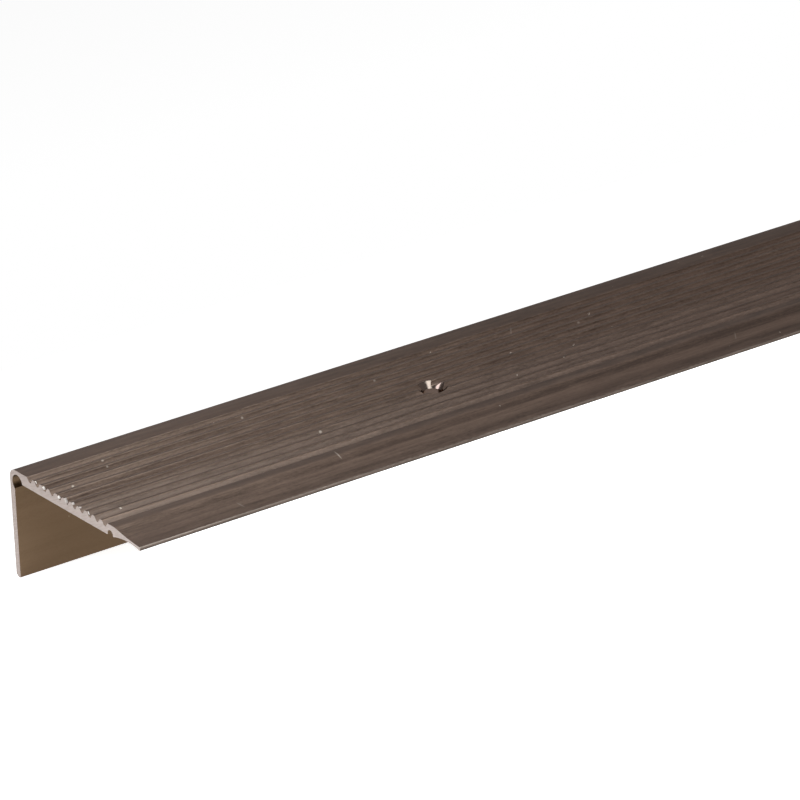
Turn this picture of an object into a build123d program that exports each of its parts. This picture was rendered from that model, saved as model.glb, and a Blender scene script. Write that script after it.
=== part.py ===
from build123d import *
import os
from math import atan2, cos, degrees, radians, sin, sqrt, tan

# Stair nose: one extruded aluminium angle that caps the front edge of a step.
# Millimetres. The section is drawn in its own plane as it sits in use:
# x runs back from the outer face of the riser leg, y runs up from the crowns of the tread.

# Overall sizes
length = 1000.0
tread_depth = 45.0
riser_drop = 23.0

# Walls
tread_thickness = 2.3
riser_thickness = 1.5
nose_radius = 1.8
riser_toe_round = 0.9
edge_round = 0.2

# Round relief channel in the inner corner, which clears the arris of the step, and the round of its mouth
channel_radius = 1.75
channel_wall = 0.8
mouth_round = 0.2

# Serrated tread: narrow ridges between flat-floored grooves, from a plain nose land to the rear flange
nose_land = 6.1
rear_flange = 10.8
groove_pitch = 2.6
groove_depth = 0.9
groove_floor = 0.55
groove_angle = 74.0
crown_round = 0.12
valley_round = 0.25

# Rear flange: a short land, an eased slope and a feathered toe over a shallow arch
slope_run = 9.0
ease_radius = 5.0
ease_angle = 12.0
toe_drop = 1.2
toe_thickness = 0.8
arch_rise = 0.6
foot_relief = 0.15
foot_width = 0.25

# Round-topped notch under the rear land
notch_setback = 10.1
notch_width = 1.8
notch_depth = 1.15

# Countersunk screw holes in one row along the tread
hole_count = 6
hole_end_distance = 85.0
hole_line = 21.8
hole_diameter = 3.8
countersink_diameter = 6.2
countersink_angle = 90.0

# Derived sizes of the serration: whole grooves, centred in the field between the two lands
flank_run = groove_depth * tan(radians(groove_angle / 2))
groove_width = groove_floor + 2 * flank_run
crown_width = groove_pitch - groove_width
field_width = tread_depth - nose_land - rear_flange
groove_count = int((field_width + crown_width) / groove_pitch)
serrated_width = groove_count * groove_pitch - crown_width
first_shoulder = nose_land + (field_width - serrated_width) / 2

# Derived corners of the relief channel
channel_centre = channel_wall + channel_radius
channel_edge = channel_centre + sqrt(channel_radius**2 - (channel_centre - tread_thickness) ** 2)

# Derived corners of the rear flange
slope_start = tread_depth - slope_run
toe_bottom = toe_drop + toe_thickness
notch_line = tread_depth - notch_setback
notch_round = notch_width / 2
notch_spring = tread_thickness - notch_depth + notch_round
notch_front = notch_line - notch_round
foot_front = notch_line + notch_round
foot_drop = tread_thickness - foot_relief
arch_start = foot_front + foot_width

# The round on the riser leg's outer lower corner leaves the inner corner its own round,
# and the round of the notch's mouth stays within the notch's straight wall
leg_round = min(riser_toe_round, riser_thickness - 2 * edge_round)
notch_mouth_share = 0.8
notch_mouth_round = min(mouth_round, notch_mouth_share * (notch_depth - notch_round))

# The bar lies as it rests on a level floor: on the riser leg's lower edge and on the rear toe, nose up
rest_angle = degrees(atan2(riser_drop - toe_bottom, tread_depth - riser_thickness))
rest_cos = cos(radians(rest_angle))
rest_sin = sin(radians(rest_angle))
section_plane = Plane(origin=(length / 2, 0, 0), x_dir=(0, -rest_cos, -rest_sin), z_dir=(-1, 0, 0))
tread_plane = Plane(origin=(0, 0, 0), x_dir=(1, 0, 0), z_dir=(0, -rest_sin, rest_cos))


def serration():
    """Corner points of the grooves, from the nose land to the rear land, and the round of each corner."""
    points = []
    rounds = []
    for i in range(groove_count):
        shoulder = first_shoulder + i * groove_pitch
        floor_front = shoulder + flank_run
        floor_rear = floor_front + groove_floor
        points += [(shoulder, 0), (floor_front, -groove_depth)]
        points += [(floor_rear, -groove_depth), (floor_rear + flank_run, 0)]
        rounds += [crown_round, valley_round, valley_round, crown_round]
    return points, rounds


def section():
    """The extruded section: riser leg, nose, serrated tread and rear flange."""
    groove_points, groove_rounds = serration()
    with BuildSketch(Plane.XY) as face:
        with BuildLine():
            # down inside the riser leg, up its outer face, round the nose and back over the crowns
            outer = FilletPolyline(
                (riser_thickness, -tread_thickness),
                (riser_thickness, -riser_drop),
                (0, -riser_drop),
                (0, 0),
                *groove_points,
                (slope_start, 0),
                radius=[edge_round, leg_round, nose_radius, *groove_rounds],
            )
            # down the eased slope to the toe
            ease = JernArc(outer @ 1, (1, 0), ease_radius, -ease_angle)
            slope = TangentArc(ease @ 1, (tread_depth, -toe_drop), tangent=ease % 1)
            toe = Line(slope @ 1, (tread_depth, -toe_bottom))
            # back under the arch to the foot, and along the underside to the inner corner
            arch = SagittaArc(toe @ 1, (arch_start, -foot_drop), -arch_rise)
            Polyline(
                arch @ 1,
                (foot_front, -foot_drop),
                (foot_front, -tread_thickness),
                outer @ 0,
            )
        make_face()
        fillet(face.vertices().group_by(Axis.X)[-1], radius=edge_round)
        # relief channel in the inner corner
        with Locations((channel_centre, -channel_centre)):
            Circle(channel_radius, mode=Mode.SUBTRACT)
        # notch with a full round roof, open below
        with Locations((notch_line, -notch_spring)):
            Circle(notch_round, mode=Mode.SUBTRACT)
            Rectangle(notch_width, notch_depth, align=(Align.CENTER, Align.MAX), mode=Mode.SUBTRACT)
        # rounded mouths of the channel and the notch
        for mouth, radius in ((channel_edge, mouth_round), (notch_front, notch_mouth_round)):
            fillet(face.vertices().sort_by_distance((mouth, -tread_thickness, 0))[0], radius=radius)
    return face.sketch


def stair_nose():
    """The extruded bar with its row of countersunk holes, standing on the floor."""
    bar = extrude(section_plane * section(), amount=length, dir=section_plane.z_dir)
    hole = CounterSinkHole(
        hole_diameter / 2,
        countersink_diameter / 2,
        depth=riser_drop,
        counter_sink_angle=countersink_angle,
    )
    hole_pitch = (length - 2 * hole_end_distance) / (hole_count - 1)
    hole_row = tread_plane * Pos(0, -hole_line)
    bar -= [hole_row * spot * hole for spot in GridLocations(hole_pitch, 0, hole_count, 1)]
    box = bar.bounding_box()
    return bar.moved(Location((-box.center().X, -box.center().Y, -box.min.Z)))


os.makedirs("parts", exist_ok=True)
nose = stair_nose()
nose.label = "stair_nose"
export_step(nose, "parts/stair_nose.step")
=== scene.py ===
import bpy
import numpy as np
from mathutils import Matrix


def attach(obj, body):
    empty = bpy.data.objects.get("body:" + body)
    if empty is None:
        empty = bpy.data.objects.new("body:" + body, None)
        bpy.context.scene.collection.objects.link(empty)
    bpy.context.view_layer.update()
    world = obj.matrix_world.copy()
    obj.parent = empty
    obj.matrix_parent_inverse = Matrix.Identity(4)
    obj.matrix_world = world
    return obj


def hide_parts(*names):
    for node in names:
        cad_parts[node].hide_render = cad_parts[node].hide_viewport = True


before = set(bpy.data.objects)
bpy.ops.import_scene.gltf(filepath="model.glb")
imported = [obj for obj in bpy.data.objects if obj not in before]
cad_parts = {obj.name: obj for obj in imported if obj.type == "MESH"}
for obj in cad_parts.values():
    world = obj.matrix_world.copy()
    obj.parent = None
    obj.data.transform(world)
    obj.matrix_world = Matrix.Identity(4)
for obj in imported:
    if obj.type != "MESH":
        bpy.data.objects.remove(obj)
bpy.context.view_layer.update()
mm = 0.001

# the extruded bar, sizes in mm, drawn as it sits on a step:
# depth runs back from the riser's outer face, height runs up from the crowns of the tread
bar = dict(
    length=1000.0, treadDepth=45.0, riserDrop=23.0,
    treadThickness=2.3, riserThickness=1.5, noseRadius=1.8, riserToeRound=0.9, edgeRound=0.2,
    channelRadius=1.75, channelWall=0.8, mouthRound=0.2,
    noseLand=6.1, rearFlange=10.8, groovePitch=2.6, grooveDepth=0.9, grooveFloor=0.55, grooveAngle=74.0,
    crownRound=0.12, valleyRound=0.25,
    slopeRun=9.0, easeRadius=5.0, easeAngle=12.0, toeDrop=1.2, toeThickness=0.8, archRise=0.6,
    footRelief=0.15, footWidth=0.25, notchSetback=10.1, notchWidth=1.8, notchDepth=1.15,
    holeCount=6, holeEnd=85.0, holeLine=21.8, holeDiameter=3.8, sinkDiameter=6.2, drillOverrun=1.0,
    # how fine the mesh is: points on each kind of arc, steps down a flank, rings beside a hole,
    # how close two points count as one, and the angle from which an edge is sharp
    cornerSteps=9, bendSteps=8, slopeSteps=16, archSteps=20, channelSteps=40, holeSteps=96,
    flankStep=0.15, holeMargin=5.0, samePoint=1e-5, sharpAngle=24.0,
)
slopeStart = bar["treadDepth"] - bar["slopeRun"]
toeBottom = bar["toeDrop"] + bar["toeThickness"]

# burrs left by the saw on the rear flanks at the near end, in mm: depth on the tread, how far each stands off
# the flank, its half width round the section, the rings along the bar over which it dies away,
# the height from which it is bare, and how much a flank has to face the rear to carry one
burr = dict(
    depths=[8.95, 11.7, 17.0, 19.3, 19.7, 21.8, 24.3, 27.2],
    heights=[0.06, 0.1, 0.08, 0.2, 0.16, 0.12, 0.1, 0.06],
    halfWidth=0.24, rings=[0.0, 0.15, 0.35, 0.5], taper=[0.5, 0.9, 0.5, 0.0], bareFrom=0.03, rearFacing=0.5,
)

# finish number of each part of the skin, in the order of the list of finishes
showSide, innerSide, sawnEnd, sinkWall, toeEdge, toeFace, tornBurr = range(7)

# it rests on the riser's lower edge and on the rear toe, so the tread is tilted
tilt = np.arctan2(bar["riserDrop"] - toeBottom, bar["treadDepth"] - bar["riserThickness"])
alongAxis = np.array([1.0, 0.0, 0.0])
rearAxis = np.array([0.0, -np.cos(tilt), -np.sin(tilt)])
upAxis = np.array([0.0, -np.sin(tilt), np.cos(tilt)])


# points from one angle to another on a circle
def arc(centre, radius, startAngle, endAngle, steps):
    angle = np.radians(np.linspace(startAngle, endAngle, steps))
    return np.asarray(centre) + radius * np.stack([np.cos(angle), np.sin(angle)], axis=1)


# arc from one point to another through a third, which stands off the middle of the chord by the rise
def riseArc(start, end, rise, steps):
    start, end = np.asarray(start), np.asarray(end)
    chord = end - start
    half = np.hypot(*chord) / 2
    radius = (half ** 2 + rise ** 2) / (2 * abs(rise))
    side = np.array([-chord[1], chord[0]]) / (2 * half) * np.sign(rise)
    centre = (start + end) / 2 + side * (abs(rise) - radius)
    first = np.arctan2(*(start - centre)[::-1])
    sweep = -2 * np.arcsin(half / radius) * np.sign(rise)
    return arc(centre, radius, np.degrees(first), np.degrees(first + sweep), steps)


# every corner becomes a tangent arc: it leaves its line at radius * tan(turn / 2) before the corner
# and swings through the turn about a centre one radius to the side
def roundCorners(points, radii, steps):
    before = points - np.roll(points, 1, axis=0)
    after = np.roll(points, -1, axis=0) - points
    before /= np.linalg.norm(before, axis=1, keepdims=True)
    after /= np.linalg.norm(after, axis=1, keepdims=True)
    turn = np.arctan2(before[:, 0] * after[:, 1] - before[:, 1] * after[:, 0], (before * after).sum(axis=1))
    start = points - before * (radii * np.tan(np.abs(turn) / 2))[:, None]
    side = np.stack([-before[:, 1], before[:, 0]], axis=1) * np.sign(turn)[:, None]
    centre = start + side * radii[:, None]
    spoke = start - centre
    swing = turn[:, None] * np.linspace(0, 1, steps)
    x = spoke[:, :1] * np.cos(swing) - spoke[:, 1:] * np.sin(swing)
    y = spoke[:, :1] * np.sin(swing) + spoke[:, 1:] * np.cos(swing)
    return centre[:, None] + np.stack([x, y], axis=2)


# corner points of the grooves and the round of each: whole grooves, centred in the field between the lands
def serration():
    flankRun = bar["grooveDepth"] * np.tan(np.radians(bar["grooveAngle"] / 2))
    across = np.cumsum([0, flankRun, bar["grooveFloor"], flankRun])
    crown = bar["groovePitch"] - across[-1]
    field = bar["treadDepth"] - bar["noseLand"] - bar["rearFlange"]
    count = int((field + crown) / bar["groovePitch"])
    firstShoulder = bar["noseLand"] + (field - count * bar["groovePitch"] + crown) / 2
    shoulder = firstShoulder + bar["groovePitch"] * np.arange(count)
    depth = (shoulder[:, None] + across).ravel()
    height = np.tile([0, -bar["grooveDepth"], -bar["grooveDepth"], 0], count)
    rounds = [bar["crownRound"], bar["valleyRound"], bar["valleyRound"], bar["crownRound"]]
    return np.stack([depth, height], axis=1), np.tile(rounds, count)


# corners and arcs of the section with the round and the finish of each stretch, from the inner corner down
# inside the riser, up its face, over the tread and back underneath
def sectionStretches():
    channelCentre = bar["channelWall"] + bar["channelRadius"]
    riserMeet = np.degrees(np.arccos((bar["riserThickness"] - channelCentre) / bar["channelRadius"]))
    # the round of the channel's mouth touches the underside and the channel from outside
    mouthHeight = bar["mouthRound"] - bar["treadThickness"]
    mouthReach = bar["channelRadius"] + bar["mouthRound"]
    underMeet = np.degrees(np.arcsin((channelCentre + mouthHeight) / mouthReach))
    mouth = [channelCentre + mouthReach * np.cos(np.radians(underMeet)), mouthHeight]
    channelMiddle = [channelCentre, -channelCentre]
    channel = arc(channelMiddle, bar["channelRadius"], underMeet, 360 - riserMeet, bar["channelSteps"])
    ease = np.radians(bar["easeAngle"])
    easeEnd = slopeStart + bar["easeRadius"] * np.sin(ease)
    easeDrop = bar["easeRadius"] * (1 - np.cos(ease))
    # the slope is tangent to the eased bend, so its rise follows from the angle between bend and chord
    run, fall = bar["treadDepth"] - easeEnd, bar["toeDrop"] - easeDrop
    slopeRise = np.hypot(run, fall) / 2 * np.tan((np.arctan2(fall, run) - ease) / 2)
    bendCentre = [slopeStart, -bar["easeRadius"]]
    bend = arc(bendCentre, bar["easeRadius"], 90, 90 - bar["easeAngle"], bar["bendSteps"])
    toeTop = [bar["treadDepth"], -bar["toeDrop"]]
    toeEnd = [bar["treadDepth"], -toeBottom]
    notchLine = bar["treadDepth"] - bar["notchSetback"]
    notchRound = bar["notchWidth"] / 2
    notchSpring = bar["treadThickness"] - bar["notchDepth"] + notchRound
    footFront = notchLine + notchRound
    footDrop = bar["treadThickness"] - bar["footRelief"]
    archEnd = [footFront + bar["footWidth"], -footDrop]
    return [
        # down inside the riser leg
        ([[bar["riserThickness"], -bar["riserDrop"]]], bar["edgeRound"], innerSide),
        # up its outer face, round the nose and over the crowns
        ([[0, -bar["riserDrop"]], [0, 0]], [bar["riserToeRound"], bar["noseRadius"]], showSide),
        (*serration(), showSide),
        # eased bend, slope and toe
        (bend, 0, showSide),
        (riseArc([easeEnd, -easeDrop], toeTop, slopeRise, bar["slopeSteps"])[1:-1], 0, showSide),
        ([toeTop], bar["edgeRound"], toeEdge),
        ([toeEnd], bar["edgeRound"], toeFace),
        # arch and foot
        (riseArc(toeEnd, archEnd, -bar["archRise"], bar["archSteps"])[1:], 0, innerSide),
        ([[footFront, -footDrop]], 0, innerSide),
        # notch, underside and corner channel
        (arc([notchLine, -notchSpring], notchRound, 0, 180, bar["archSteps"]), 0, innerSide),
        ([[notchLine - notchRound, -bar["treadThickness"]]], bar["mouthRound"], innerSide),
        (arc(mouth, bar["mouthRound"], -90, underMeet - 180, bar["cornerSteps"]), 0, innerSide),
        (channel[1:], 0, innerSide),
    ]


# the closed outline of the section: its corners rounded, its flanks cut into short steps,
# with the finish number of the face that starts at each point
def barOutline():
    stretches = sectionStretches()
    points = np.concatenate([np.asarray(places, float) for places, rounds, side in stretches])
    radii = np.concatenate([np.broadcast_to(rounds, len(places)) for places, rounds, side in stretches])
    sides = np.concatenate([np.full(len(places), side) for places, rounds, side in stretches])
    path = roundCorners(points, radii, bar["cornerSteps"]).reshape(-1, 2)
    sides = np.repeat(sides, bar["cornerSteps"])
    keep = np.linalg.norm(np.roll(path, -1, axis=0) - path, axis=1) > bar["samePoint"]
    path, sides = path[keep], sides[keep]
    # the end of the toe edge's round starts the toe's face
    sides = np.where((sides == toeEdge) & (np.roll(sides, -1) == toeFace), toeFace, sides)
    step = np.roll(path, -1, axis=0) - path
    span = np.linalg.norm(step, axis=1)
    onRidges = (sides == showSide) & (path[:, 0] > bar["noseLand"]) & (path[:, 0] < slopeStart)
    onFlank = onRidges & (np.abs(step[:, 1]) > bar["flankStep"])
    parts = np.where(onFlank, np.ceil(span / bar["flankStep"]), 1).astype(int)
    owner = np.repeat(np.arange(len(path)), parts)
    share = (np.arange(len(owner)) - np.repeat(np.cumsum(parts) - parts, parts)) / parts[owner]
    return path[owner] + step[owner] * share[:, None], sides[owner]


outline, outlineSide = barOutline()

# place of the section in the frame: lowest point on the floor, middle of its width on the X axis
loose = outline[:, :1] * rearAxis + outline[:, 1:] * upAxis
shift = -np.array([0, (loose[:, 1].min() + loose[:, 1].max()) / 2, loose[:, 2].min()])


# a point of the bar in the frame, in metres: along from the near end, depth and height in mm
def onBar(along, depth, height):
    along, depth, height = np.broadcast_arrays(along, depth, height)
    place = along[..., None] * alongAxis + depth[..., None] * rearAxis + height[..., None] * upAxis
    return (place + shift - alongAxis * bar["length"] / 2) * mm


# a mesh from vertices and faces of equal corner count each, with a material number for every face
# and, where given, the place of every face corner on the unrolled skin
def meshFrom(name, vertices, faceSets, unrolled=None):
    mesh = bpy.data.meshes.new(name)
    corners = np.concatenate([faces.ravel() for faces, numbers in faceSets])
    counts = np.concatenate([np.full(len(faces), faces.shape[1]) for faces, numbers in faceSets])
    materials = np.concatenate([numbers for faces, numbers in faceSets])
    mesh.vertices.add(len(vertices))
    mesh.vertices.foreach_set("co", vertices.astype(np.float32).ravel())
    mesh.loops.add(len(corners))
    mesh.loops.foreach_set("vertex_index", corners.astype(np.int32))
    mesh.polygons.add(len(counts))
    mesh.polygons.foreach_set("loop_start", (np.cumsum(counts) - counts).astype(np.int32))
    mesh.polygons.foreach_set("material_index", materials.astype(np.int32))
    mesh.update(calc_edges=True)
    if unrolled is not None:
        mesh.uv_layers.new(name="unrolled").data.foreach_set("uv", unrolled.astype(np.float32).ravel())
    mesh.validate()
    piece = bpy.data.objects.new(name, mesh)
    bpy.context.scene.collection.objects.link(piece)
    return piece


# rings joined to a tube: ring i, corner j runs to ring i + 1, corner j + 1
def tubeFaces(rings, corners):
    i, j = np.meshgrid(np.arange(rings - 1), np.arange(corners), indexing="ij")
    k = (j + 1) % corners
    quads = [i * corners + j, i * corners + k, (i + 1) * corners + k, (i + 1) * corners + j]
    return np.stack(quads, axis=2).reshape(-1, 4)


# the skin of the bar unrolled flat, in mm: along the bar and round its outline;
# the sawn ends have no place on it
def unrolledSkin(stations):
    step = np.linalg.norm(np.roll(outline, -1, axis=0) - outline, axis=1)
    girth = np.concatenate([[0], np.cumsum(step)])
    i, j = np.meshgrid(np.arange(len(stations) - 1), np.arange(len(outline)), indexing="ij")
    along = np.stack([stations[i], stations[i], stations[i + 1], stations[i + 1]], axis=2)
    around = np.stack([girth[j], girth[j + 1], girth[j + 1], girth[j]], axis=2)
    skin = np.stack([along, around], axis=3).reshape(-1, 2)
    return np.concatenate([skin, np.zeros((2 * len(outline), 2))])


# how far each point of the outline is pushed off a rear flank: the highest of the bell curves about the burrs
def burrPush():
    way = np.roll(outline, -1, axis=0) - np.roll(outline, 1, axis=0)
    normal = np.stack([-way[:, 1], way[:, 0]], axis=1) / np.linalg.norm(way, axis=1, keepdims=True)
    reach = (outline[:, :1] - np.array(burr["depths"])) / burr["halfWidth"]
    bells = (np.array(burr["heights"]) * np.exp(-reach ** 2)).max(axis=1)
    onRidges = (outlineSide == showSide) & (outline[:, 0] < slopeStart)
    return np.where(onRidges & (normal[:, 0] > burr["rearFacing"]), bells, 0), normal


# the outline carried along the length, with rings beside each hole and over the burrs, closed by sawn ends;
# the burrs are bare metal, painted paler as a painted glint
def extrudedBar(holePlaces):
    besideHoles = [holePlaces - bar["holeMargin"], holePlaces + bar["holeMargin"]]
    stations = np.sort(np.concatenate([burr["rings"], [bar["length"]], *besideHoles]))
    push, normal = burrPush()
    taper = np.interp(stations, burr["rings"], burr["taper"])
    rings = outline + taper[:, None, None] * (push[:, None] * normal)
    vertices = onBar(stations[:, None], rings[..., 0], rings[..., 1]).reshape(-1, 3)
    corners = len(outline)
    bare = taper[:-1, None] * push > burr["bareFrom"]
    sides = (tubeFaces(len(stations), corners), np.where(bare, tornBurr, outlineSide).ravel())
    nearEnd = (np.arange(corners)[None, ::-1], np.array([sawnEnd]))
    farEnd = (np.arange(corners)[None] + (len(stations) - 1) * corners, np.array([sawnEnd]))
    return meshFrom("stair_nose_bar", vertices, [sides, nearEnd, farEnd], unrolledSkin(stations))


# drills turned about their axes: rings of the profile's radius at the profile's height, closed by discs;
# the countersink widens as much as it rises
def drills(places):
    steps = bar["holeSteps"]
    turn = np.linspace(2 * np.pi, 0, steps, endpoint=False)
    rim, core, overrun = bar["sinkDiameter"] / 2, bar["holeDiameter"] / 2, bar["drillOverrun"]
    radius = np.array([core, core, rim + overrun])
    height = np.array([-bar["treadThickness"] - overrun, core - rim, overrun])
    along = places[:, None, None] + radius[:, None] * np.cos(turn)
    depth = bar["holeLine"] + radius[:, None] * np.sin(turn)
    vertices = onBar(along, depth, height[:, None]).reshape(-1, 3)
    rings = len(radius)
    first = (np.arange(len(places)) * rings * steps)[:, None, None]
    walls = (first + tubeFaces(rings, steps)).reshape(-1, 4)
    ring = np.arange(steps)
    discs = np.concatenate([first[:, 0] + ring[::-1], first[:, 0] + (rings - 1) * steps + ring])
    faceSets = [(faces, np.full(len(faces), sinkWall)) for faces in (walls, discs)]
    return meshFrom("drill", vertices, faceSets)


# sRGB hex to linear colour
def colour(hexValue):
    srgb = np.array([int(hexValue[i:i + 2], 16) for i in (1, 3, 5)]) / 255
    linear = np.where(srgb <= 0.04045, srgb / 12.92, ((srgb + 0.055) / 1.055) ** 2.4)
    return (*linear.tolist(), 1.0)


# adds a node; an input that is a socket is linked, one that is a node is linked from its first output,
# and any other is set; a mix of colours takes its share at 0 and the colours at 6 and 7, and gives one at 2
def node(tree, kind, inputs=None, **settings):
    new = tree.nodes.new(kind)
    for key, value in settings.items():
        setattr(new, key, value)
    for key, value in (inputs or {}).items():
        if isinstance(value, bpy.types.Node):
            value = value.outputs[0]
        if isinstance(value, bpy.types.NodeSocket):
            tree.links.new(value, new.inputs[key])
        else:
            new.inputs[key].default_value = value
    return new


def newMaterial(name):
    material = bpy.data.materials.new(name)
    material.use_nodes = True
    material.node_tree.nodes.clear()
    return material, material.node_tree


# the drawn show side, in mm: die lines and grain are finer in the metal and are drawn as coarse as the render
# can show
drawn = dict(
    # the colour screened over grooves and crowns is a painted highlight, the grey multiplied over the tops of
    # the flanks is painted shade
    dark="#43352e", light="#776256", cloud="#5b4940", paintedHighlight="#322e2c", flankTopShade="#e4e4e4", speck="#a3958a",
    edge="#faf6f4",
    grainWidth=0.35, grainLength=0.9, lineWidth=0.5, lineLength=5.0, streakWidth=1.0, streakLength=14.0,
    dieWidth=2.6, dieLength=600.0, cloudWidth=8.0, cloudLength=40.0, noiseDetail=2.0, noiseMiddle=0.5,
    # how strongly the short lines and the die lines show, and the heights and depths where that changes
    fineGain=0.75, calmGain=0.4, calmBelow=(-2.0, -4.0), toneSwing=0.45,
    cloudRange=(0.4, 0.8), cloudShare=0.6,
    frontGain=0.1, ridgeGain=1.2, smoothGain=1.4, rearFrom=(20.0, 26.0), smoothFrom=(35.0, 36.5),
    # to the rear the grooves are painted paler as a painted highlight; to the front the tops of the flanks
    # are painted darker as painted shade and the rest painted paler as a painted highlight
    rearTo=(33.6, 34.2), paleBelow=(-0.05, -0.2),
    frontFrom=(5.8, 6.2), topFrom=(-0.03, -0.1), topTo=(-0.2, -0.5), paintedHighlightShare=0.35,
    # chance specks, one in the middle of some cells, each with an uneven rim
    speckCell=6.0, speckRadius=0.22, speckShare=0.08,
    rimGrain=0.25, rimDetail=1.0, rimRange=(0.3, 0.7), rimReach=2.0,
    # nicks and scratches near the sawn end: along, depth, length, width, turn in degrees, how plain it shows
    marks=[
        (5.1, 14.45, 0.6, 0.35, 0, 0.8), (15.6, 8.9, 0.6, 0.3, 0, 0.7), (14.9, 11.6, 0.5, 0.3, 0, 0.6),
        (48.2, 9.1, 0.6, 0.35, 0, 0.7), (55.9, 24.7, 0.7, 0.4, 0, 1.0), (78.4, 11.55, 0.6, 0.3, 0, 0.5),
        (127.3, 14.25, 0.7, 0.3, 0, 0.4), (51.7, 36.4, 3.2, 0.35, 81, 0.8), (114.6, 8.4, 3.9, 0.3, 56, 0.3),
        (25.1, 41.9, 2.3, 0.4, -80, 0.3), (147.3, 39.8, 2.9, 0.3, 56, 0.25),
    ],
    markCore=0.5, markRim=1.2,
    # sheen: roughness and relief follow the grain and the lines
    fineRange=(0.7, 1.3), roughness=(0.34, 0.46), lineDepth=0.004, reliefShare=0.5,
)
# the inner side has broad soft bands
drawnInside = dict(
    drawn, lineWidth=2.0, lineLength=30.0, streakWidth=4.0, streakLength=50.0, dieWidth=5.0, marks=[],
    dark="#5b4a38", light="#78634e", cloud="#6a5743", paintedHighlight="#000000", speck="#8d7c66", edge="#ffffff",
)
# the toe's upper edge is painted pale in places as a painted highlight, its face below stays dark
toeEdgeHighlight = dict(
    drawn, dark="#40362f", light="#6c5f57", cloud="#96887f", paintedHighlight="#000000", edge="#ffffff", marks=[],
)
drawnToe = dict(toeEdgeHighlight, light="#685a52", cloud="#50443e", speck="#8d7c66")


# from low to high between two depths on the tread, or two heights
def ramp(tree, place, axis, ends, low, high):
    reach = node(tree, "ShaderNodeVectorMath", {0: place, 1: axis.tolist()}, operation="DOT_PRODUCT")
    first, last = [(end + shift @ axis) * mm for end in ends]
    limits = {"From Min": first, "From Max": last, "To Min": low, "To Max": high}
    return node(tree, "ShaderNodeMapRange", {"Value": reach.outputs["Value"], **limits})


# 1 between two ramps along an axis and 0 outside them
def between(tree, place, axis, rise, fall):
    ends = {0: ramp(tree, place, axis, rise, 0.0, 1.0), 1: ramp(tree, place, axis, fall, 1.0, 0.0)}
    return node(tree, "ShaderNodeMath", ends, operation="MULTIPLY")


# noise stretched along the bar, one layer for each kind of line
def drawnLayers(tree, finish, skin):
    layers = {}
    for layer in ("grain", "line", "streak", "die", "cloud"):
        scale = (1 / finish[layer + "Length"], 1 / finish[layer + "Width"], 1)
        stretched = node(tree, "ShaderNodeMapping", {"Vector": skin, "Scale": scale})
        noise = {"Vector": stretched, "Scale": 1.0, "Detail": finish["noiseDetail"]}
        layers[layer] = node(tree, "ShaderNodeTexNoise", noise)
    return layers


# grain, lines and streaks, calmer low on the bar, and the long lines of the die, plainest on the slope,
# together give the tone between the dark and the light colour; clouds of dye lie over it
def drawnTone(tree, finish, place, layers, fine):
    middle = finish["noiseMiddle"]
    short = node(tree, "ShaderNodeMath", {0: fine, 1: layers["streak"]}, operation="ADD")
    shortMiddle = node(tree, "ShaderNodeMath", {0: short, 1: 3 * middle}, operation="SUBTRACT")
    fineGain = ramp(tree, place, upAxis, finish["calmBelow"], finish["fineGain"], finish["calmGain"])
    shortSwing = node(tree, "ShaderNodeMath", {0: shortMiddle, 1: fineGain}, operation="MULTIPLY")
    dieMiddle = node(tree, "ShaderNodeMath", {0: layers["die"], 1: middle}, operation="SUBTRACT")
    ridgeGain = ramp(tree, place, rearAxis, finish["rearFrom"], finish["frontGain"], finish["ridgeGain"])
    slopeGain = ramp(tree, place, rearAxis, finish["smoothFrom"], 0.0, finish["smoothGain"])
    dieGain = node(tree, "ShaderNodeMath", {0: ridgeGain, 1: slopeGain}, operation="ADD")
    swing = node(tree, "ShaderNodeMath", {0: dieMiddle, 1: dieGain, 2: shortSwing}, operation="MULTIPLY_ADD")
    limits = {"From Min": -finish["toneSwing"], "From Max": finish["toneSwing"]}
    tone = node(tree, "ShaderNodeMapRange", {"Value": swing, **limits})
    tones = {0: tone, 6: colour(finish["dark"]), 7: colour(finish["light"])}
    metal = node(tree, "ShaderNodeMix", tones, data_type="RGBA").outputs[2]
    thin, thick = finish["cloudRange"]
    limits = {"From Min": thin, "From Max": thick, "To Max": finish["cloudShare"]}
    cloud = node(tree, "ShaderNodeMapRange", {"Value": layers["cloud"], **limits})
    dyed = {0: cloud, 6: metal, 7: colour(finish["cloud"])}
    return node(tree, "ShaderNodeMix", dyed, data_type="RGBA").outputs[2]


# grooves painted paler to the rear as a painted highlight; to the front the tops of the flanks painted darker
# as painted shade, with crowns and valleys painted a little paler as a painted highlight
def ridgeTone(tree, finish, place, metal):
    rear = between(tree, place, rearAxis, finish["rearFrom"], finish["rearTo"])
    below = ramp(tree, place, upAxis, finish["paleBelow"], 0.0, 1.0)
    grooves = node(tree, "ShaderNodeMath", {0: rear, 1: below}, operation="MULTIPLY")
    front = between(tree, place, rearAxis, finish["frontFrom"], finish["rearFrom"])
    top = between(tree, place, upAxis, finish["topFrom"], finish["topTo"])
    flankTopShadeMask = node(tree, "ShaderNodeMath", {0: front, 1: top}, operation="MULTIPLY")
    others = node(tree, "ShaderNodeMath", {0: front, 1: flankTopShadeMask}, operation="SUBTRACT")
    # painted highlight: crowns and valleys to the front, grooves to the rear
    highlightInputs = {0: others, 1: finish["paintedHighlightShare"], 2: grooves}
    paintedHighlight = node(tree, "ShaderNodeMath", highlightInputs, operation="MULTIPLY_ADD")
    paler = {0: paintedHighlight, 6: metal, 7: colour(finish["paintedHighlight"])}
    paleMetal = node(tree, "ShaderNodeMix", paler, data_type="RGBA", blend_type="SCREEN").outputs[2]
    darker = {0: flankTopShadeMask, 6: paleMetal, 7: colour(finish["flankTopShade"])}
    return node(tree, "ShaderNodeMix", darker, data_type="RGBA", blend_type="MULTIPLY").outputs[2]


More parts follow.
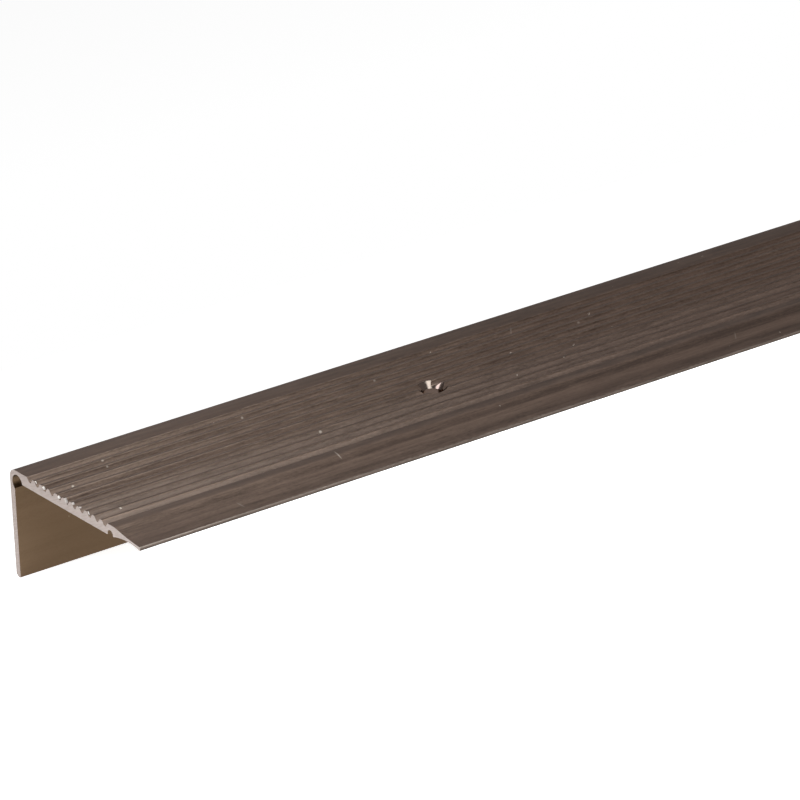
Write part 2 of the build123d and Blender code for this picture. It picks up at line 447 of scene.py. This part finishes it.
# a speck with an uneven rim sits at the middle of some cells of the skin
def scatteredSpecks(tree, finish, skin, metal):
    cellScale = (1 / finish["speckCell"], 1 / finish["speckCell"], 1)
    onCells = node(tree, "ShaderNodeMapping", {"Vector": skin, "Scale": cellScale})
    cells = node(tree, "ShaderNodeTexVoronoi", {"Vector": onCells, "Scale": 1.0}, voronoi_dimensions="2D")
    pick = node(tree, "ShaderNodeSeparateColor", {0: cells.outputs["Color"]})
    limits = {"From Min": 1 - finish["speckShare"], "To Max": finish["speckRadius"] / finish["speckCell"]}
    size = node(tree, "ShaderNodeMapRange", {"Value": pick, **limits})
    rimScale = (1 / finish["rimGrain"], 1 / finish["rimGrain"], 1)
    onRim = node(tree, "ShaderNodeMapping", {"Vector": skin, "Scale": rimScale})
    rim = node(tree, "ShaderNodeTexNoise", {"Vector": onRim, "Scale": 1.0, "Detail": finish["rimDetail"]})
    inner, outer = finish["rimRange"]
    limits = {"From Min": inner, "From Max": outer, "To Max": finish["rimReach"]}
    uneven = node(tree, "ShaderNodeMapRange", {"Value": rim, **limits})
    reach = node(tree, "ShaderNodeMath", {0: size, 1: uneven}, operation="MULTIPLY")
    speck = node(tree, "ShaderNodeMath", {0: cells.outputs["Distance"], 1: reach}, operation="LESS_THAN")
    dusted = {0: speck, 6: metal, 7: colour(finish["speck"])}
    return node(tree, "ShaderNodeMix", dusted, data_type="RGBA").outputs[2]


# each nick or scratch is an ellipse on the tread that fades out at its rim; its height counts for nothing
def nicksAndScratches(tree, finish, place, metal):
    tread = {"Location": onBar(0.0, 0.0, 0.0).tolist(), "Rotation": (tilt, 0, 0), "Scale": (mm, mm, mm)}
    onTread = node(tree, "ShaderNodeMapping", {"Vector": place, **tread}, vector_type="TEXTURE")
    for along, depth, length, width, turn, share in finish["marks"]:
        middle = {"Location": (along, -depth, 0), "Rotation": (0, 0, np.radians(turn))}
        size = {"Scale": (length / 2, width / 2, bar["length"])}
        within = node(tree, "ShaderNodeMapping", {"Vector": onTread, **middle, **size}, vector_type="TEXTURE")
        away = node(tree, "ShaderNodeVectorMath", {0: within}, operation="LENGTH").outputs["Value"]
        fade = {"From Min": finish["markCore"], "From Max": finish["markRim"], "To Min": share, "To Max": 0.0}
        mark = node(tree, "ShaderNodeMapRange", {"Value": away, **fade})
        marked = {0: mark, 6: metal, 7: colour(finish["speck"])}
        metal = node(tree, "ShaderNodeMix", marked, data_type="RGBA").outputs[2]
    return metal


# anodised aluminium, extruded and dyed bronze: a satin metal with fine lines and streaks along the bar,
# clouds where the dye took more or less, ridges with painted highlight and painted shade in places, and a few
# pale specks and nicks
def anodisedAluminium(name, finish):
    material, tree = newMaterial(name)
    skin = node(tree, "ShaderNodeUVMap", uv_map="unrolled")
    place = node(tree, "ShaderNodeTexCoord").outputs["Object"]
    layers = drawnLayers(tree, finish, skin)
    fine = node(tree, "ShaderNodeMath", {0: layers["grain"], 1: layers["line"]}, operation="ADD")
    metal = drawnTone(tree, finish, place, layers, fine)
    metal = ridgeTone(tree, finish, place, metal)
    metal = scatteredSpecks(tree, finish, skin, metal)
    metal = nicksAndScratches(tree, finish, place, metal)
    smooth, rough = finish["roughness"]
    low, high = finish["fineRange"]
    limits = {"From Min": low, "From Max": high, "To Min": smooth, "To Max": rough}
    satin = node(tree, "ShaderNodeMapRange", {"Value": fine, **limits})
    height = {"Height": fine, "Distance": finish["lineDepth"] * mm, "Strength": finish["reliefShare"]}
    relief = node(tree, "ShaderNodeBump", height)
    look = {"Base Color": metal, "Metallic": 1.0, "Specular Tint": colour(finish["edge"])}
    shader = node(tree, "ShaderNodeBsdfPrincipled", {**look, "Roughness": satin, "Normal": relief})
    node(tree, "ShaderNodeOutputMaterial", {"Surface": shader})
    return material


# scratches of the saw in mm, drawn coarser than in the metal so that they show; burrs are torn, and painted
# paler as a painted glint
sawn = dict(
    dark="#a4968f", light="#b6a8a1", scratchLength=3.0, scratchWidth=0.25, scratchTurn=20.0, noiseDetail=3.0,
    toneRange=(0.3, 0.7), roughness=0.5,
)
glintingBurr = dict(sawn, dark="#b5aaa4", light="#d2c8c2")


# aluminium cut with a saw: bare pale metal with fine parallel scratches across the section
def sawnAluminium(name, finish):
    material, tree = newMaterial(name)
    place = node(tree, "ShaderNodeTexCoord").outputs["Object"]
    scale = (0, 1 / (finish["scratchLength"] * mm), 1 / (finish["scratchWidth"] * mm))
    turned = {"Vector": place, "Rotation": (np.radians(finish["scratchTurn"]), 0, 0), "Scale": scale}
    onSaw = node(tree, "ShaderNodeMapping", turned)
    scratches = {"Vector": onSaw, "Scale": 1.0, "Detail": finish["noiseDetail"]}
    marks = node(tree, "ShaderNodeTexNoise", scratches)
    low, high = finish["toneRange"]
    tone = node(tree, "ShaderNodeMapRange", {"Value": marks, "From Min": low, "From Max": high})
    tones = {0: tone, 6: colour(finish["dark"]), 7: colour(finish["light"])}
    metal = node(tree, "ShaderNodeMix", tones, data_type="RGBA").outputs[2]
    look = {"Base Color": metal, "Metallic": 1.0, "Roughness": finish["roughness"]}
    shader = node(tree, "ShaderNodeBsdfPrincipled", look)
    node(tree, "ShaderNodeOutputMaterial", {"Surface": shader})
    return material


# rings of the countersink tool in mm
turnedSink = dict(
    dark="#57483f", light="#756760", edge="#75573f", ringPitch=0.15, noiseDetail=2.0, roughness=0.2,
)


# anodised aluminium, turned by a countersink and dyed: a smooth dark cone with fine rings, which mirrors the
# lamps as bright streaks
def turnedAluminium(name, finish):
    material, tree = newMaterial(name)
    place = node(tree, "ShaderNodeTexCoord").outputs["Object"]
    # on a cone a ring stays at one height above the tread's plane
    upright = node(tree, "ShaderNodeMapping", {"Vector": place, "Rotation": (-tilt, 0, 0)})
    ringScale = (0, 0, 1 / (finish["ringPitch"] * mm))
    level = node(tree, "ShaderNodeMapping", {"Vector": upright, "Scale": ringScale})
    rings = node(tree, "ShaderNodeTexNoise", {"Vector": level, "Scale": 1.0, "Detail": finish["noiseDetail"]})
    tones = {0: rings, 6: colour(finish["dark"]), 7: colour(finish["light"])}
    metal = node(tree, "ShaderNodeMix", tones, data_type="RGBA").outputs[2]
    look = {"Base Color": metal, "Metallic": 1.0, "Roughness": finish["roughness"]}
    shader = node(tree, "ShaderNodeBsdfPrincipled", {**look, "Specular Tint": colour(finish["edge"])})
    node(tree, "ShaderNodeOutputMaterial", {"Surface": shader})
    return material


# in the order of the finish numbers
finishes = [
    anodisedAluminium("anodised aluminium, drawn show side", drawn),
    anodisedAluminium("anodised aluminium, drawn inner side", drawnInside),
    sawnAluminium("aluminium, sawn end", sawn),
    turnedAluminium("anodised aluminium, turned countersink", turnedSink),
    # the toe edge's pale clouds are a painted highlight
    anodisedAluminium("anodised aluminium, toe edge with painted highlight", toeEdgeHighlight),
    anodisedAluminium("anodised aluminium, drawn toe face", drawnToe),
    # the burr's paler colour is a painted glint
    sawnAluminium("aluminium, burr with painted glint", glintingBurr),
]
print("finishes", len(finishes))

holePlaces = np.linspace(bar["holeEnd"], bar["length"] - bar["holeEnd"], bar["holeCount"])
piece = extrudedBar(holePlaces)
cutter = drills(holePlaces)
for material in finishes:
    piece.data.materials.append(material)
    cutter.data.materials.append(material)
cut = piece.modifiers.new("screw holes", "BOOLEAN")
cut.operation = "DIFFERENCE"
cut.solver = "EXACT"
cut.object = cutter
cutMesh = bpy.data.meshes.new_from_object(piece.evaluated_get(bpy.context.evaluated_depsgraph_get()))
piece.modifiers.clear()
piece.data = cutMesh
bpy.data.objects.remove(cutter)
piece.data.set_sharp_from_angle(angle=np.radians(bar["sharpAngle"]))
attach(piece, "root")
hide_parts("stair_nose")
print("bar", len(piece.data.vertices), "vertices", len(piece.data.polygons), "faces")

# floor and room: white to the eye and in reflections, dimmer as light; the walls darken to a dim ceiling
studio = dict(
    floorSize=8.0, floorGlow=0.92, floorHex="#f4f4f4",
    worldHex="#ffffff", worldLight=0.5, wallTop=0.02, ceilingStart=0.58, ceiling=0.3,
)


# 1 for what the camera sees directly, in a reflection or through glass, 0 for plain light
def seenDirectly(tree):
    path = node(tree, "ShaderNodeLightPath").outputs
    direct = {0: path["Is Camera Ray"], 1: path["Is Glossy Ray"]}
    mirrored = node(tree, "ShaderNodeMath", direct, operation="MAXIMUM")
    return node(tree, "ShaderNodeMath", {0: mirrored, 1: path["Is Transmission Ray"]}, operation="MAXIMUM")


# a flat square under the bar
def studioFloor():
    half = studio["floorSize"] / 2
    u, v = np.meshgrid([-half, half], [-half, half])
    grid = np.stack([u.ravel(), v.ravel(), 0 * u.ravel()], axis=1)
    floor = meshFrom("floor", grid, [(np.array([[0, 1, 3, 2]]), np.array([0]))])
    material, tree = newMaterial("white paper sweep")
    shade = node(tree, "ShaderNodeBsdfDiffuse", {"Color": colour(studio["floorHex"])})
    glow = node(tree, "ShaderNodeEmission", {"Strength": studio["floorGlow"]})
    lit = node(tree, "ShaderNodeAddShader", {0: shade, 1: glow})
    paper = node(tree, "ShaderNodeMixShader", {0: seenDirectly(tree), 1: shade, 2: lit})
    node(tree, "ShaderNodeOutputMaterial", {"Surface": paper})
    floor.data.materials.append(material)


def studioWorld():
    world = bpy.data.worlds.new("studio")
    bpy.context.scene.world = world
    world.use_nodes = True
    tree = world.node_tree
    tree.nodes.clear()
    towards = node(tree, "ShaderNodeTexCoord").outputs["Generated"]
    rise = node(tree, "ShaderNodeSeparateXYZ", {0: towards}).outputs["Z"]
    walls = {"From Min": studio["wallTop"], "From Max": studio["ceilingStart"]}
    fall = {"To Min": 1.0, "To Max": studio["ceiling"]}
    room = node(tree, "ShaderNodeMapRange", {"Value": rise, **walls, **fall})
    seen = {"Value": seenDirectly(tree), "To Min": studio["worldLight"], "To Max": 1.0}
    level = node(tree, "ShaderNodeMapRange", seen)
    strength = node(tree, "ShaderNodeMath", {0: room, 1: level}, operation="MULTIPLY")
    sky = node(tree, "ShaderNodeBackground", {"Color": colour(studio["worldHex"]), "Strength": strength})
    node(tree, "ShaderNodeOutputWorld", {"Surface": sky})


# soft boxes: key over the near end, top high above, crest for the crowns, left for the first hole;
# the direction from the bar, the place along the bar they aim at, their distance and their sizes in mm
softBoxes = dict(
    key=dict(
        lean=(0.53, -0.5, 0.69), aim=-90.0, reach=360.0, width=140.0, span=370.0, power=1.35, hue="#e4f4f8",
    ),
    top=dict(
        lean=(0.53, 0.1, 0.84), aim=90.0, reach=700.0, width=250.0, span=200.0, power=0.15, hue="#ffffff",
    ),
    crest=dict(
        lean=(0.53, 0.5, 0.68), aim=-45.0, reach=500.0, width=150.0, span=200.0, power=0.046, hue="#ffffff",
    ),
    left=dict(
        lean=(-0.55, -0.1, 0.83), aim=85.0, reach=400.0, width=130.0, span=160.0, power=0.62, hue="#eef4ff",
    ),
)


# the box looks at its point of the bar, with its width along the bar and its span across it
def softBox(name, box):
    lamp = bpy.data.lights.new(name, "AREA")
    lamp.shape = "RECTANGLE"
    lamp.size = box["width"] * mm
    lamp.size_y = box["span"] * mm
    lamp.energy = box["power"]
    lamp.color = colour(box["hue"])[:3]
    holder = bpy.data.objects.new(name, lamp)
    bpy.context.scene.collection.objects.link(holder)
    out = np.array(box["lean"])
    out /= np.linalg.norm(out)
    place = onBar(box["aim"], bar["treadDepth"] / 2, 0.0) + out * box["reach"] * mm
    side = alongAxis - out * (alongAxis @ out)
    side /= np.linalg.norm(side)
    turn = Matrix(np.column_stack([side, np.cross(out, side), out]).tolist()).to_4x4()
    holder.matrix_world = Matrix.Translation(place.tolist()) @ turn
    holder.visible_camera = False


# the photograph's view, in the tread's own directions: the point aimed at and the distance in mm, the angles
view = dict(
    aimAlong=76.29, aimDepth=23.04, distance=1188.56, turn=35.265, above=23.421, roll=-2.196,
    lens=272.595, sensor=36.0,
)


def photoCamera():
    turn, above, roll = np.radians([view["turn"], view["above"], view["roll"]])
    out = np.cos(above) * (np.cos(turn) * rearAxis - np.sin(turn) * alongAxis) + np.sin(above) * upAxis
    right = np.cross(upAxis, out)
    right /= np.linalg.norm(right)
    up = np.cross(out, right)
    rolledRight = np.cos(roll) * right + np.sin(roll) * up
    rolledUp = np.cos(roll) * up - np.sin(roll) * right
    camera = bpy.data.cameras.new("photo view")
    camera.lens = view["lens"]
    camera.sensor_width = view["sensor"]
    holder = bpy.data.objects.new("photo view", camera)
    bpy.context.scene.collection.objects.link(holder)
    place = onBar(view["aimAlong"], view["aimDepth"], 0.0) + out * view["distance"] * mm
    turned = Matrix(np.column_stack([rolledRight, rolledUp, out]).tolist()).to_4x4()
    holder.matrix_world = Matrix.Translation(place.tolist()) @ turned
    bpy.context.scene.camera = holder


studioFloor()
studioWorld()
for name, box in softBoxes.items():
    softBox(name, box)
photoCamera()
bpy.context.scene.view_settings.view_transform = "Standard"
print("studio set")
